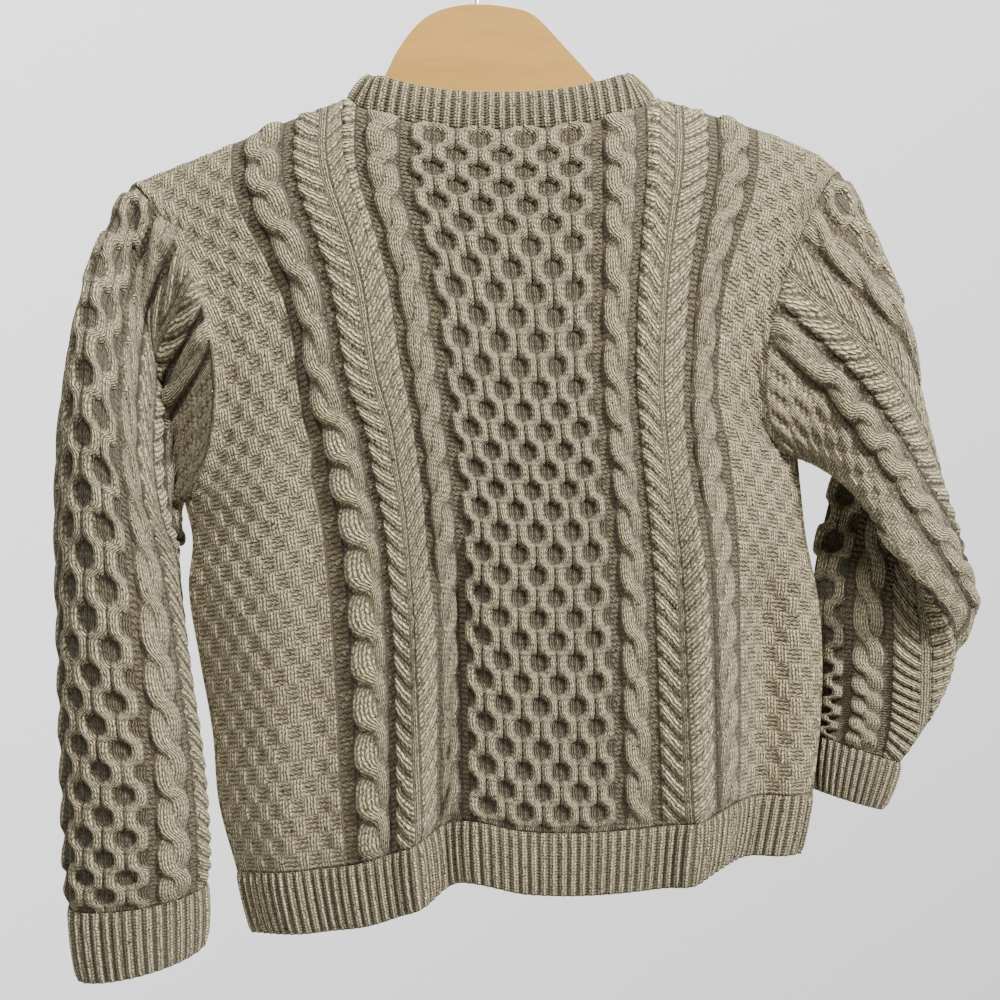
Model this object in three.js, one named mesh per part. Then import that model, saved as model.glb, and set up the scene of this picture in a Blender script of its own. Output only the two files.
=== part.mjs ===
// A cable knit sweater hanging on a flat plywood hanger with a wire hook.
// Millimetres, +Z up. The origin is under the bow of the hook, where it hangs.
// The back of the sweater faces -Y and its left side, as seen, is at -X.

import * as THREE from 'three';

// Cloth and knitting
const WALL = 3;
const SEAM_GAP = 0.3;
const HALF_GAP = SEAM_GAP / 2;
const INNER_GAP = 0.8;
const CUFF_GAP = 0.5;
const CABLE_RISE = 4;
const BRAID_RISE = 3;
const HONEYCOMB_RISE = 3.5;
const RIB_RISE = 2;

// The pattern repeats every 34 mm, and the grid has two steps in a repeat.
const STEPS_A_REPEAT = 2;
const BODY_REPEATS = 17;
const UNDERARM_REPEAT = 9;
const SLEEVE_REPEATS = 18;
const BODY_STEPS = BODY_REPEATS * STEPS_A_REPEAT;
const SLACK_STEPS = 3;
const SLEEVE_STEPS = SLEEVE_REPEATS * STEPS_A_REPEAT;
const SLEEVE_BEND_STEP = 24;
const SLEEVE_TURN_STEPS = 4;
const UNDERARM_STEP = UNDERARM_REPEAT * STEPS_A_REPEAT;

// Panel columns in stitches from the centre line: honeycomb, rope cable, braid, rope cable, plain
const BODY_HALF = 66;
const BODY_STATIONS = [0, 4, 8, 12, 16, 18, 21, 24, 28, 32, 36, 39, 43, 47, 51, 56, 61, BODY_HALF];
const BODY_BANDS = { honeycomb: 16, innerCable: 21, braid: 32, outerCable: 43 };
const NECK_STATION = 28;

// Sleeve columns in stitches from the top line. The last four spread over what is left.
const SLEEVE_STATIONS = [4, 8, 12, 14, 17, 20];
const SLEEVE_SPREAD = [0.2, 0.4, 0.6, 0.8];
const SLEEVE_BANDS = { honeycomb: 12, innerCable: 17, braid: 28.5, outerCable: 39 };
const SLEEVE_HALF_AT_TOP = 62;
const SLEEVE_HALF_AT_CUFF = 30;
const CABLE_HALF_WIDTH = 3;
const BRAID_HALF_WIDTH = 6;

// Ribbing
const WELT_HEIGHT = 48;
const HALF_RIB = 3.8;
const CUFF_RIBS = 30;
const NECKBAND_HEIGHT = 30;
const NECKBAND_LEAN = 0.94;
const NECKBAND_CORNER = { drop: 8, leanLeft: 0.86, leanRight: 0.82, reach: 6 };
const HEM_SHIFT = { left: 12, right: -10 };

// Plywood hanger and wire hook
const BOARD_THICK = 9;
const ARM_DROP = 13.4;
const BOARD_BACK = 0.2;
const WIRE_RADIUS = 1.5;
const HOOK_RADIUS = 18.4;
const HEAD_TOP = -69.5;

const table = (names, rows) => ({ names: names.split(' '), rows });

// Side seams under the arms: at 0 at the hem and 1 at the underarm
const SIDE_SEAMS = table('at leftX leftZ rightX rightZ', [
  [0.00, -210, -762, 250, -699],
  [0.20, -225, -706, 256, -648],
  [0.38, -230, -650, 258, -597],
  [0.57, -240, -593, 255, -546],
  [0.76, -249, -536, 245, -495],
  [0.89, -246, -496, 241, -460],
  [1.00, -253, -464, 238, -429],
]);

// The hem's rise over a straight line between the side seams
const HEM_LIFT = table('at lift', [
  [0.00, 0], [0.20, 3], [0.30, 12], [0.39, 26], [0.50, 12], [0.62, 4], [0.78, 2], [0.86, 6], [1.00, 0],
]);

// Shoulder and neck line, by stitch from the centre line, as seen from the back
const SHOULDER_LINE = table('at x z', [
  [-66, -293.6, -211.6], [-52, -232, -188], [-39, -166, -161], [-28, -122, -146],
  [28, 124, -145], [39, 168, -157], [52, 220, -173], [61, 254, -188], [66, 270.4, -202],
]);

// Where the middles of the rope cables run, from hem to shoulder, on the left (a) and right (b)
const CABLE_STITCHES = { a1: -43, a2: -21, b1: 21, b2: 43 };
const CABLE_LINES = table('at a1 a2 b1 b2', [
  [0.00, -92, -38, 107, 176],
  [0.30, -96, -42, 102, 170],
  [0.41, -101, -45, 99, 165],
  [0.49, -111, -49, 95, 159],
  [0.56, -119, -54, 92, 156],
  [0.62, -134, -58, 89, 157],
  [0.80, -156, -76, 92, 167],
  [0.92, -184, -93, 95, 181],
  [1.00, -193, -99, 95, 190],
]);
const NECK_DIP = { back: 28, front: 74 };
const NECK_REACH = 20;

// How far the panel stands off the middle plane: away from its edges, from hem to shoulder
const BODY_DEPTH = table('at back front', [
  [0.00, 48, 30], [0.30, 52, 32], [0.55, 50, 32], [0.80, 44, 28], [1.00, 34, 24],
]);

// Folds in the back: where each starts and ends, its half width, and how far it goes in.
// Each starts softly, over the first part of its length.
const FOLD_START = 90;
const BACK_FOLDS = [
  { x0: -30, z0: -470, x1: -46, z1: -770, wide: 16, deep: 13 },
  { x0: -52, z0: -500, x1: -66, z1: -770, wide: 13, deep: -10 },
  { x0: 155, z0: -420, x1: 150, z1: -760, wide: 14, deep: -12 },
  { x0: 215, z0: -470, x1: 208, z1: -760, wide: 26, deep: 44 },
  { x0: -195, z0: -230, x1: -140, z1: -480, wide: 22, deep: 7 },
];
const FRONT_FOLDS = [
  { x0: 40, z0: -430, x1: 60, z1: -770, wide: 20, deep: 10 },
  { x0: -120, z0: -400, x1: -100, z1: -770, wide: 18, deep: -9 },
  { x0: 205, z0: -430, x1: 214, z1: -770, wide: 46, deep: 16 },
];

// Sleeve sections from the armhole, at 0, to the cuff, at 1. Each is a closed curve through
// its underarm line (u), near side (n), top line (t) and far side (f).
const SECTION = 'at ux uy uz nx ny nz tx ty tz fx fy fz';
const LEFT_SLEEVE = table(SECTION, [
  [0.00, -253, 0, -464, -224, -30, -344, -294, 0, -212, -262, 26, -333],
  [0.07, -268, 12, -471, -266, 4, -372, -305, -16, -246, -298, 29, -350],
  [0.15, -270, 24, -478, -270, 10, -404, -313, -38, -290, -320, 32, -384],
  [0.24, -274, 34, -485, -272, -4, -440, -316, -50, -344, -338, 28, -425],
  [0.33, -276, 38, -493, -270, -20, -474, -317, -54, -404, -344, 22, -462],
  [0.44, -282, 36, -510, -266, -26, -508, -317, -52, -476, -345, 14, -506],
  [0.60, -278, 32, -586, -254, -26, -594, -314, -46, -586, -343, 10, -588],
  [0.76, -270, 28, -666, -243, -19, -674, -307, -42, -674, -341, 6, -668],
  [0.90, -266, 22, -732, -238, -18, -738, -306, -36, -744, -339, 4, -740],
  [1.00, -264, 18, -770, -240, -14, -774, -307, -30, -786, -338, 2, -784],
]);
const RIGHT_SLEEVE = table(SECTION, [
  [0.00, 238, 0, -429, 209, -28, -344, 270, 0, -202, 256, 26, -317],
  [0.08, 252, -8, -438, 266, -34, -334, 292, 0, -244, 296, 20, -330],
  [0.17, 268, -24, -452, 306, -36, -346, 311, 8, -290, 318, 22, -350],
  [0.26, 286, -38, -474, 326, -18, -374, 308, 34, -336, 316, 22, -400],
  [0.36, 308, -42, -502, 344, 0, -422, 296, 52, -400, 314, 12, -446],
  [0.47, 334, -36, -532, 362, 14, -486, 278, 56, -466, 320, 12, -492],
  [0.57, 358, -18, -560, 368, 34, -540, 264, 50, -530, 318, 10, -536],
  [0.68, 364, 2, -592, 322, 48, -586, 258, 44, -586, 312, 6, -588],
  [0.84, 350, 6, -632, 312, 46, -632, 256, 42, -632, 304, 6, -632],
  [1.00, 322, 8, -676, 288, 42, -666, 250, 38, -654, 284, 8, -664],
]);
const LEFT_CUFF_END = { ux: -262, uy: 16, uz: -818, nx: -240, ny: -14, nz: -822,
  tx: -303, ty: -26, tz: -841, fx: -331, fy: 2, fz: -840 };
const RIGHT_CUFF_END = { ux: 308, uy: 8, uz: -713, nx: 282, ny: 38, nz: -706,
  tx: 250, ty: 34, tz: -698, fx: 278, fy: 8, fz: -706 };

const OATMEAL = 0xc9bd9d;
const PLYWOOD = 0xcfae7c;
const STEEL = 0x9a9a98;

const mix = (a, b, t) => a + (b - a) * t;
const clamp01 = (t) => Math.min(1, Math.max(0, t));
const soft = (t) => clamp01(t) ** 2 * (3 - 2 * clamp01(t));
const bump = (t) => (Math.abs(t) < 1 ? Math.cos((t * Math.PI) / 2) ** 2 : 0);
const mixPair = (a, b, t) => ({
  outer: a.outer.clone().lerp(b.outer, t),
  inner: a.inner.clone().lerp(b.inner, t),
});

// A smooth curve through one named column of a table
function read(from, name, at) {
  const { names, rows } = from;
  const column = names.indexOf(name);
  let i = rows.findIndex((row) => row[0] >= at) - 1;
  if (i === -2) i = rows.length - 2;
  i = Math.max(0, i);
  const slope = (k) => {
    const before = rows[Math.max(0, k - 1)];
    const after = rows[Math.min(rows.length - 1, k + 1)];
    return (after[column] - before[column]) / (after[0] - before[0]);
  };
  const span = rows[i + 1][0] - rows[i][0];
  const t = clamp01((at - rows[i][0]) / span);
  const rise = rows[i + 1][column] - rows[i][column];
  const a = slope(i) * span - rise;
  const b = -slope(i + 1) * span + rise;
  return rows[i][column] + rise * t + t * (1 - t) * (a * (1 - t) + b * t);
}

// Straight lines through one named column of a table
function readStraight(from, name, at) {
  const { names, rows } = from;
  const column = names.indexOf(name);
  const i = Math.min(rows.length - 2, Math.max(0, rows.findIndex((row) => row[0] >= at) - 1));
  const t = (at - rows[i][0]) / (rows[i + 1][0] - rows[i][0]);
  return mix(rows[i][column], rows[i + 1][column], clamp01(t));
}

// The height of the knitted pattern over the wall, at a stitch and a repeat
function knitRise(stitch, repeat, bands) {
  const side = Math.abs(stitch);
  if (side <= bands.honeycomb) {
    const row = Math.cos(2 * Math.PI * repeat);
    const column = Math.cos((Math.PI * side) / 4);
    return HONEYCOMB_RISE * (0.5 - 0.5 * row * column);
  }
  const twist = 0.75 + 0.25 * Math.cos(2 * Math.PI * repeat);
  const inner = bump((side - bands.innerCable) / CABLE_HALF_WIDTH);
  const outer = bump((side - bands.outerCable) / CABLE_HALF_WIDTH);
  const braid = bump((side - bands.braid) / BRAID_HALF_WIDTH);
  return CABLE_RISE * twist * Math.max(inner, outer) + BRAID_RISE * braid;
}

// A closed wall from a fine outer grid and a coarse plain inner one. Both are arrays of rows of
// points, the outer count in each direction a whole multiple of the inner one. A ring is closed.
function closedWall(outer, inner, isRing, flip) {
  const points = [];
  const add = (grid) => grid.map((row) => row.map((p) => points.push(p) - 1));
  const out = add(outer);
  const ins = add(inner);
  const faces = [];
  const quad = (a, b, c, d) => faces.push([a, b, c], [a, c, d]);
  const wrap = (row, i) => row[isRing ? i % row.length : i];
  const count = (grid) => (isRing ? grid[0].length : grid[0].length - 1);
  const skin = (grid, turned) => {
    for (let j = 0; j < grid.length - 1; j += 1) {
      for (let i = 0; i < count(grid); i += 1) {
        const a = wrap(grid[j], i);
        const b = wrap(grid[j], i + 1);
        const c = wrap(grid[j + 1], i + 1);
        const d = wrap(grid[j + 1], i);
        if (turned) quad(a, d, c, b);
        else quad(a, b, c, d);
      }
    }
  };
  skin(out, false);
  skin(ins, true);
  const rim = (fine, coarse, turned) => {
    const fineSteps = fine.length - 1;
    const ratio = fineSteps / (coarse.length - 1);
    const face = (a, b, c) => faces.push(turned ? [a, c, b] : [a, b, c]);
    for (let i = 0; i < fineSteps; i += 1) {
      face(fine[i + 1], fine[i], coarse[Math.round((i + 0.5) / ratio - 0.001)]);
    }
    for (let k = 0; k < coarse.length - 1; k += 1) {
      const joint = Math.ceil((k + 0.5) * ratio - 0.001);
      face(coarse[k], coarse[k + 1], fine[Math.min(joint, fineSteps)]);
    }
  };
  const close = (row) => (isRing ? [...row, row[0]] : row);
  rim(close(out[0]), close(ins[0]), false);
  rim(close(out[out.length - 1]), close(ins[ins.length - 1]), true);
  if (!isRing) {
    rim(out.map((row) => row[0]), ins.map((row) => row[0]), true);
    rim(out.map((row) => row[row.length - 1]), ins.map((row) => row[row.length - 1]), false);
  }
  const geometry = new THREE.BufferGeometry();
  const numbers = points.flatMap((p) => p.toArray());
  geometry.setAttribute('position', new THREE.Float32BufferAttribute(numbers, 3));
  geometry.setIndex(faces.flatMap(([a, b, c]) => (flip ? [a, c, b] : [a, b, c])));
  geometry.computeVertexNormals();
  return geometry;
}

// A sleeve section: points on its closed curve, and the way out of it
function sectionCurve(read3) {
  const u = read3('u');
  const n = read3('n');
  const t = read3('t');
  const f = read3('f');
  const centre = u.clone().add(n).add(t).add(f).multiplyScalar(0.25);
  const along = u.clone().sub(t).multiplyScalar(0.5);
  const across = n.clone().sub(f).multiplyScalar(0.5);
  const bow = u.clone().add(t).sub(n).sub(f).multiplyScalar(0.25);
  const point = (turn) => centre.clone()
    .addScaledVector(along, Math.cos(turn))
    .addScaledVector(across, Math.sin(turn))
    .addScaledVector(bow, Math.cos(2 * turn));
  const away = (turn) => along.clone().normalize().multiplyScalar(Math.cos(turn))
    .addScaledVector(across.clone().normalize(), Math.sin(turn));
  return { point, away };
}

// The turns at which a section's half, from the top line to the underarm, is cut at given shares
// of its length. The near half runs from a turn of pi to 0, the far half from pi to two pi.
function turnsAtShares(curve, shares, way) {
  const steps = 90;
  const turns = [];
  const lengths = [0];
  for (let i = 0; i <= steps; i += 1) turns.push(Math.PI - (way * Math.PI * i) / steps);
  for (let i = 1; i <= steps; i += 1) {
    lengths.push(lengths[i - 1] + curve.point(turns[i]).distanceTo(curve.point(turns[i - 1])));
  }
  return shares.map((share) => {
    const want = share * lengths[steps];
    const i = Math.min(steps, Math.max(1, lengths.findIndex((length) => length >= want)));
    const t = (want - lengths[i - 1]) / (lengths[i] - lengths[i - 1]);
    return mix(turns[i - 1], turns[i], clamp01(t));
  });
}

// One ring of a sleeve: its stitch, outer base point, way out and inner point at every column
function sleeveRing(curve, at) {
  const half = mix(SLEEVE_HALF_AT_TOP, SLEEVE_HALF_AT_CUFF, at);
  const last = SLEEVE_STATIONS[SLEEVE_STATIONS.length - 1];
  const spread = SLEEVE_SPREAD.map((share) => mix(last, half, share));
  const stitches = [...SLEEVE_STATIONS, ...spread];
  const shares = stitches.map((stitch) => stitch / half);
  const near = turnsAtShares(curve, shares, 1);
  const far = turnsAtShares(curve, shares, -1);
  const place = (turn, stitch) => {
    const base = curve.point(turn);
    const away = curve.away(turn);
    return { stitch, base, away, inner: base.clone().addScaledVector(away, -WALL) };
  };
  const nearColumns = stitches.map((stitch, i) => place(near[i], stitch));
  const farColumns = stitches.map((stitch, i) => place(far[i], -stitch));
  return [place(Math.PI, 0), ...nearColumns, place(0, half), ...farColumns.reverse()];
}

function curveAt(from, at) {
  const axis = (point) => ['x', 'y', 'z'].map((name) => read(from, point + name, at));
  return sectionCurve((point) => new THREE.Vector3(...axis(point)));
}

// All rings of a sleeve. Past the armhole, the way out is square to the cloth.
function sleeveRings(from, outward) {
  const shares = Array.from({ length: SLEEVE_STEPS + 1 }, (unused, j) => j / SLEEVE_STEPS);
  const rings = shares.map((share) => sleeveRing(curveAt(from, share), share));
  return rings.map((ring, j) => ring.map((column, i) => {
    if (j === 0) return column;
    const count = ring.length;
    const round = ring[(i + 1) % count].base.clone().sub(ring[(i + count - 1) % count].base);
    const down = rings[Math.min(j + 1, SLEEVE_STEPS)][i].base.clone().sub(rings[j - 1][i].base);
    const square = round.cross(down).normalize().multiplyScalar(outward);
    const away = column.away.clone().lerp(square, clamp01(j / SLEEVE_TURN_STEPS)).normalize();
    return { ...column, away, inner: column.base.clone().addScaledVector(away, -WALL) };
  }));
}

const SLEEVES = {
  left: { outward: -1, rings: sleeveRings(LEFT_SLEEVE, -1) },
  right: { outward: 1, rings: sleeveRings(RIGHT_SLEEVE, 1) },
};

function sleeveGeometry({ outward, rings }) {
  const shift = new THREE.Vector3(outward * HALF_GAP, 0, 0);
  const fade = (j) => soft(j / STEPS_A_REPEAT) * soft((SLEEVE_STEPS - j) / STEPS_A_REPEAT);
  const outer = rings.map((ring, j) => ring.map(({ stitch, base, away }) => {
    const rise = knitRise(stitch, j / STEPS_A_REPEAT, SLEEVE_BANDS) * fade(j);
    return base.clone().addScaledVector(away, rise).add(shift);
  }));
  const inner = rings.filter((ring, j) => j <= SLEEVE_BEND_STEP || j % (2 * STEPS_A_REPEAT) === 0)
    .map((ring) => ring.map((column) => column.inner.clone().add(shift)));
  return closedWall(outer, inner, true, outward < 0);
}

// A ribbed tube that goes on from a ring of edge points to a ring of end points
function ribbedTube(edge, end, ribs, shift, flip) {
  const columns = ribs * 2;
  const along = (ring, i) => {
    const place = (i / columns) * ring.length;
    const k = Math.floor(place);
    return mixPair(ring[k], ring[(k + 1) % ring.length], place - k);
  };
  const raised = (pair, i) => {
    const away = pair.outer.clone().sub(pair.inner).normalize();
    return pair.outer.clone().addScaledVector(away, i % 2 === 0 ? RIB_RISE : 0);
  };
  const rows = [edge, end].map((ring) => Array.from({ length: columns }, (unused, i) => along(ring, i)));
  rows[0] = rows[0].map(({ outer, inner }) => ({ outer: outer.add(shift), inner: inner.add(shift) }));
  const outer = rows.map((row) => row.map(raised));
  const inner = rows.map((row) => row.filter((unused, i) => i % 2 === 0).map((pair) => pair.inner));
  return closedWall(outer, inner, true, flip);
}

function cuffGeometry({ outward, rings }, end) {
  const asPairs = (ring) => ring.map(({ base, inner }) => ({ outer: base, inner }));
  const endPoint = (point) => ['x', 'y', 'z'].map((name) => end[point + name]);
  const curve = sectionCurve((point) => new THREE.Vector3(...endPoint(point)));
  const last = rings[rings.length - 1];
  const centre = (ring) => ring.reduce((sum, column) => sum.add(column.base), new THREE.Vector3())
    .multiplyScalar(1 / ring.length);
  const lastRing = sleeveRing(curve, 1);
  const shift = centre(lastRing).sub(centre(last)).normalize().multiplyScalar(CUFF_GAP);
  shift.x += outward * HALF_GAP;
  return ribbedTube(asPairs(last), asPairs(lastRing), CUFF_RIBS, shift, outward < 0);
}

// The armhole edge of a panel, as straight lines between the first ring's columns.
// Step 0 is at the underarm. The columns that spread out take two steps each.
function armholePoint(side, isBack, step) {
  const ring = SLEEVES[side].rings[0];
  const middle = ring.length / 2;
  const upward = isBack ? ring.slice(0, middle + 1).reverse() : [...ring.slice(middle), ring[0]];
  const wide = SLEEVE_SPREAD.length + 1;
  const place = step < 2 * wide ? step / 2 : step - wide;
  const i = Math.min(middle - 1, Math.floor(place));
  const pair = (column) => ({ outer: column.base, inner: column.inner });
  return mixPair(pair(upward[i]), pair(upward[i + 1]), place - i);
}

// The left or right edge of a panel at one of its steps up from the hem
function sidePoint(side, isBack, step) {
  if (step >= UNDERARM_STEP) return armholePoint(side, isBack, step - UNDERARM_STEP);
  const share = step / UNDERARM_STEP;
  const inward = side === 'left' ? WALL : -WALL;
  const outer = new THREE.Vector3(read(SIDE_SEAMS, `${side}X`, share), 0, read(SIDE_SEAMS, `${side}Z`, share));
  return { outer, inner: outer.clone().add(new THREE.Vector3(inward, 0, 0)) };
}

// How far the folds push the cloth towards the inside
function foldDepth(folds, x, z) {
  return folds.reduce((sum, { x0, z0, x1, z1, wide, deep }) => {
    const along = clamp01((z0 - z) / (z0 - z1));
    const across = (x - mix(x0, x1, along)) / wide;
    return sum + deep * Math.exp(-across * across) * soft((z0 - z) / FOLD_START);
  }, 0);
}

const neckDip = (stitch, isBack) => {
  const share = clamp01(1 - Math.abs(stitch / NECK_STATION) ** (isBack ? 2.4 : 2));
  return share ** 0.8 * (isBack ? NECK_DIP.back : NECK_DIP.front);
};

// How far a side edge runs ahead of an even pace from hem to shoulder, step by step,
// and the same evened out over its neighbours
function sideSlack(side, isBack) {
  const heights = Array.from({ length: BODY_STEPS + 1 }, (unused, j) => sidePoint(side, isBack, j).outer.z);
  const own = heights.map((z, j) => z - mix(heights[0], heights[BODY_STEPS], j / BODY_STEPS));
  const evened = own.map((unused, j) => {
    const reach = Math.min(SLACK_STEPS, j, BODY_STEPS - j);
    const near = own.slice(j - reach, j + reach + 1);
    return near.reduce((sum, z) => sum + z, 0) / near.length;
  });
  return { own, evened };
}

// The base of one panel: a grid of outer points without relief, from hem to shoulder
function panelBase(isBack) {
  const outward = isBack ? -1 : 1;
  const folds = isBack ? BACK_FOLDS : FRONT_FOLDS;
  const stations = [...BODY_STATIONS.slice(1).map((stitch) => -stitch).reverse(), ...BODY_STATIONS];
  const rows = [];
  const slacks = { left: sideSlack('left', isBack), right: sideSlack('right', isBack) };
  for (let j = 0; j <= BODY_STEPS; j += 1) {
    const at = j / BODY_STEPS;
    const left = sidePoint('left', isBack, j).outer;
    const right = sidePoint('right', isBack, j).outer;
    const depth = read(BODY_DEPTH, isBack ? 'back' : 'front', at);
    const nearTop = Math.sqrt(clamp01(1 - at ** 10));
    const hemZ = (t) => mix(read(SIDE_SEAMS, 'leftZ', 0), read(SIDE_SEAMS, 'rightZ', 0), t);
    const slack = (t, stitch) => {
      const inside = soft((BODY_HALF - Math.abs(stitch)) / 12);
      const side = ({ own, evened }) => mix(own[j], evened[j], inside);
      return mix(side(slacks.left), side(slacks.right), t);
    };
    const zAt = (t, stitch) => {
      const bottom = hemZ(t) + read(HEM_LIFT, 'lift', t);
      const top = readStraight(SHOULDER_LINE, 'z', stitch) - neckDip(stitch, isBack);
      return mix(bottom, top, at) + slack(t, stitch);
    };
    const depthAt = (t, stitch) => {
      const x = mix(left.x, right.x, t);
      const crown = (1 - clamp01(Math.abs(2 * t - 1)) ** 5) ** 0.6;
      const z = zAt(t, stitch);
      const body = depth * crown * nearTop - foldDepth(folds, x, z) * crown * nearTop;
      const neck = NECK_REACH * Math.sqrt(1 - clamp01(Math.abs(stitch / NECK_STATION)) ** 4) * at ** 12;
      return mix(mix(left.y, right.y, t), outward * (body + neck), Math.max(crown, 0.001));
    };
    const steps = 120;
    const shares = [];
    const lengths = [0];
    for (let i = 0; i <= steps; i += 1) shares.push(i / steps);
    for (let i = 1; i <= steps; i += 1) {
      const a = shares[i - 1];
      const b = shares[i];
      const dx = (right.x - left.x) / steps;
      const dy = depthAt(b, mix(-BODY_HALF, BODY_HALF, b)) - depthAt(a, mix(-BODY_HALF, BODY_HALF, a));
      lengths.push(lengths[i - 1] + Math.hypot(dx, dy));
    }
    const lengthAt = (x) => {
      const place = clamp01((x - left.x) / (right.x - left.x)) * steps;
      const i = Math.min(steps - 1, Math.floor(place));
      return mix(lengths[i], lengths[i + 1], place - i);
    };
    const cables = Object.entries(CABLE_STITCHES).map(([name, stitch]) => (
      [stitch, lengthAt(read(CABLE_LINES, name, at))]
    ));
    const marks = [[-BODY_HALF, 0], ...cables, [BODY_HALF, lengths[steps]]];
    rows.push(stations.map((stitch) => {
      const next = Math.max(1, marks.findIndex(([mark]) => mark >= stitch));
      const [[before, from], [after, to]] = [marks[next - 1], marks[next]];
      const want = mix(from, to, (stitch - before) / (after - before));
      const i = Math.min(steps, Math.max(1, lengths.findIndex((length) => length >= want)));
      const part = clamp01((want - lengths[i - 1]) / (lengths[i] - lengths[i - 1]));
      const evenly = mix(shares[i - 1], shares[i], part);
      const topX = read(SHOULDER_LINE, 'x', stitch);
      const fitted = (topX - left.x) / (right.x - left.x);
      const t = mix(evenly, fitted, soft((at - 0.7) / 0.3));
      if (Math.abs(stitch) === BODY_HALF) return stitch < 0 ? left.clone() : right.clone();
      return new THREE.Vector3(mix(left.x, right.x, t), depthAt(t, stitch), zAt(t, stitch));
    }));
  }
  return { rows, stations };
}

// One panel with its edges: outer base points, outward ways and inner points
function panelGrid(isBack) {
  const { rows, stations } = panelBase(isBack);
  const outward = isBack ? -1 : 1;
  const lastRow = rows.length - 1;
  const lastColumn = stations.length - 1;
  return rows.map((row, j) => row.map((base, i) => {
    const acrossWay = row[Math.min(i + 1, lastColumn)].clone().sub(row[Math.max(i - 1, 0)]);
    const upWay = rows[Math.min(j + 1, lastRow)][i].clone().sub(rows[Math.max(j - 1, 0)][i]);
    const away = acrossWay.cross(upWay).normalize().multiplyScalar(isBack ? 1 : -1);
    let inner = base.clone().addScaledVector(away, -WALL);
    const stitch = stations[i];
    const shoulder = j === lastRow && Math.abs(stitch) > NECK_STATION;
    const corner = j === lastRow && Math.abs(stitch) === NECK_STATION;
    const outer = base.clone();
    if (j === 0 || (j === lastRow && Math.abs(stitch) < NECK_STATION)) {
      inner = base.clone().add(new THREE.Vector3(0, -outward * WALL, 0));
    }
    if (shoulder) inner = base.clone().add(new THREE.Vector3(0, 0, -WALL));
    if (corner) inner = base.clone().add(new THREE.Vector3(-Math.sign(stitch) * 2, 0, -2));
    if (i === 0 || i === lastColumn) {
      inner = sidePoint(i === 0 ? 'left' : 'right', isBack, j).inner;
    }
    const isSide = i === 0 || i === lastColumn;
    const inward = i === 0 ? 1 : -1;
    if (shoulder || corner || (isSide && j <= UNDERARM_STEP)) {
      outer.y = outward * HALF_GAP;
      inner.y = outward * HALF_GAP;
    }
    if (isSide && j >= UNDERARM_STEP) {
      outer.x += inward * HALF_GAP;
      inner.x += inward * INNER_GAP;
    }
    return { stitch, away, outer, inner, isSide };
  }));
}

const PANELS = { back: panelGrid(true), front: panelGrid(false) };

function panelGeometry(name) {
  const grid = PANELS[name];
  const lastRow = grid.length - 1;
  const lift = (p, dz) => p.clone().add(new THREE.Vector3(0, 0, dz));
  const edgeLift = (j, stitch, gap) => {
    if (j === 0) return gap;
    return j === lastRow && Math.abs(stitch) <= NECK_STATION ? -gap : 0;
  };
  const outer = grid.map((row, j) => row.map(({ stitch, away, outer: base, isSide }) => {
    const inside = j > 0 && j < lastRow && !isSide;
    const rise = inside ? knitRise(stitch, j / STEPS_A_REPEAT, BODY_BANDS) : 0;
    return lift(base.clone().addScaledVector(away, rise), edgeLift(j, stitch, HALF_GAP));
  }));
  const innerPoint = (column, j) => lift(column.inner, edgeLift(j, column.stitch, INNER_GAP));
  const inner = grid.map((row, j) => row.map((column) => innerPoint(column, j)))
    .filter((row, j) => j % STEPS_A_REPEAT === 0);
  return closedWall(outer, inner, false, name === 'front');
}

// One point for every stitch of an edge, on straight lines between its stations
function byStitch(edge) {
  return edge.slice(1).reduce((points, next, k) => {
    const count = Math.abs(next.stitch - edge[k].stitch);
    for (let i = 1; i <= count; i += 1) points.push(mixPair(edge[k], next, i / count));
    return points;
  }, [mixPair(edge[0], edge[0], 0)]);
}

// Points along an edge about a rib's half apart, on straight lines between its stations.
// Their number of steps is a whole multiple of four.
function byLength(edge) {
  const lengths = edge.slice(1).map((next, k) => next.outer.distanceTo(edge[k].outer));
  const counts = lengths.map((length) => Math.max(1, Math.round(length / HALF_RIB)));
  const total = counts.reduce((sum, count) => sum + count, 0);
  counts[lengths.indexOf(Math.max(...lengths))] += (4 - (total % 4)) % 4;
  return edge.slice(1).reduce((points, next, k) => {
    for (let i = 1; i <= counts[k]; i += 1) points.push(mixPair(edge[k], next, i / counts[k]));
    return points;
  }, [mixPair(edge[0], edge[0], 0)]);
}

// The ribbed welt under a panel
function weltGeometry(name) {
  const outward = name === 'back' ? -1 : 1;
  const edge = PANELS[name][0];
  const down = new THREE.Vector3(0, 0, -HALF_GAP);
  const drop = (pair, share) => {
    const move = new THREE.Vector3(mix(HEM_SHIFT.left, HEM_SHIFT.right, share), 0, -WELT_HEIGHT);
    return { outer: pair.outer.clone().add(move), inner: pair.inner.clone().add(move) };
  };
  const top = byLength(edge).map(({ outer, inner }) => ({ outer: outer.add(down), inner: inner.add(down) }));
  const columns = top.length - 1;
  const bottom = top.map((pair, i) => drop(pair, i / columns));
  const ribbed = ({ outer }, i) => {
    const isEdge = i === 0 || i === columns;
    return outer.clone().add(new THREE.Vector3(0, i % 2 === 1 && !isEdge ? outward * RIB_RISE : 0, 0));
  };
  const outer = [bottom, top].map((row) => row.map(ribbed));
  const inner = [bottom, top].map((row) => row.filter((unused, i) => i % 4 === 0).map((pair) => pair.inner));
  return closedWall(outer, inner, false, name === 'front');
}

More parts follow.
